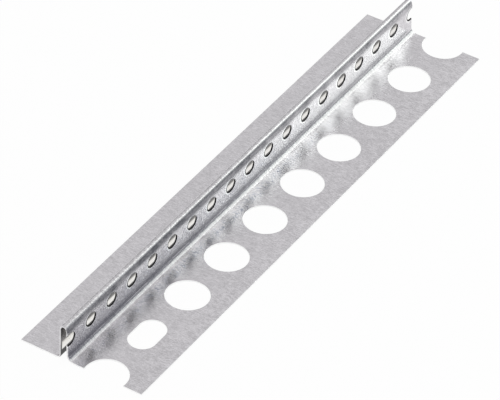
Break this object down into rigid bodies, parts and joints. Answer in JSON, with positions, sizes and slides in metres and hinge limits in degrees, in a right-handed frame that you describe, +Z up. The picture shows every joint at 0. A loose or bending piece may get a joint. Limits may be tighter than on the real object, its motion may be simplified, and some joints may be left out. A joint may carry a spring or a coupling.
{
  "type": "shadow gap drywall bead",
  "caption": "Roll-formed sheet steel drywall bead: a narrow standing fold between a plain flange and a wide punched flange, to leave a shadow gap at a board edge.",
  "frame": {"origin": "under the middle of the strip, on the plane that both flanges lie on", "axes": "+X across the strip towards the punched flange, +Y along the strip, +Z up the fold"},
  "size_m": [0.043, 0.2, 0.013],
  "materials": {
    "galvanised_sheet": "galvanised, bright, with fine lines across the strip"
  },
  "bodies": {
    "root": {"bead_profile": "galvanised_sheet"}
  },
  "joints": []
}
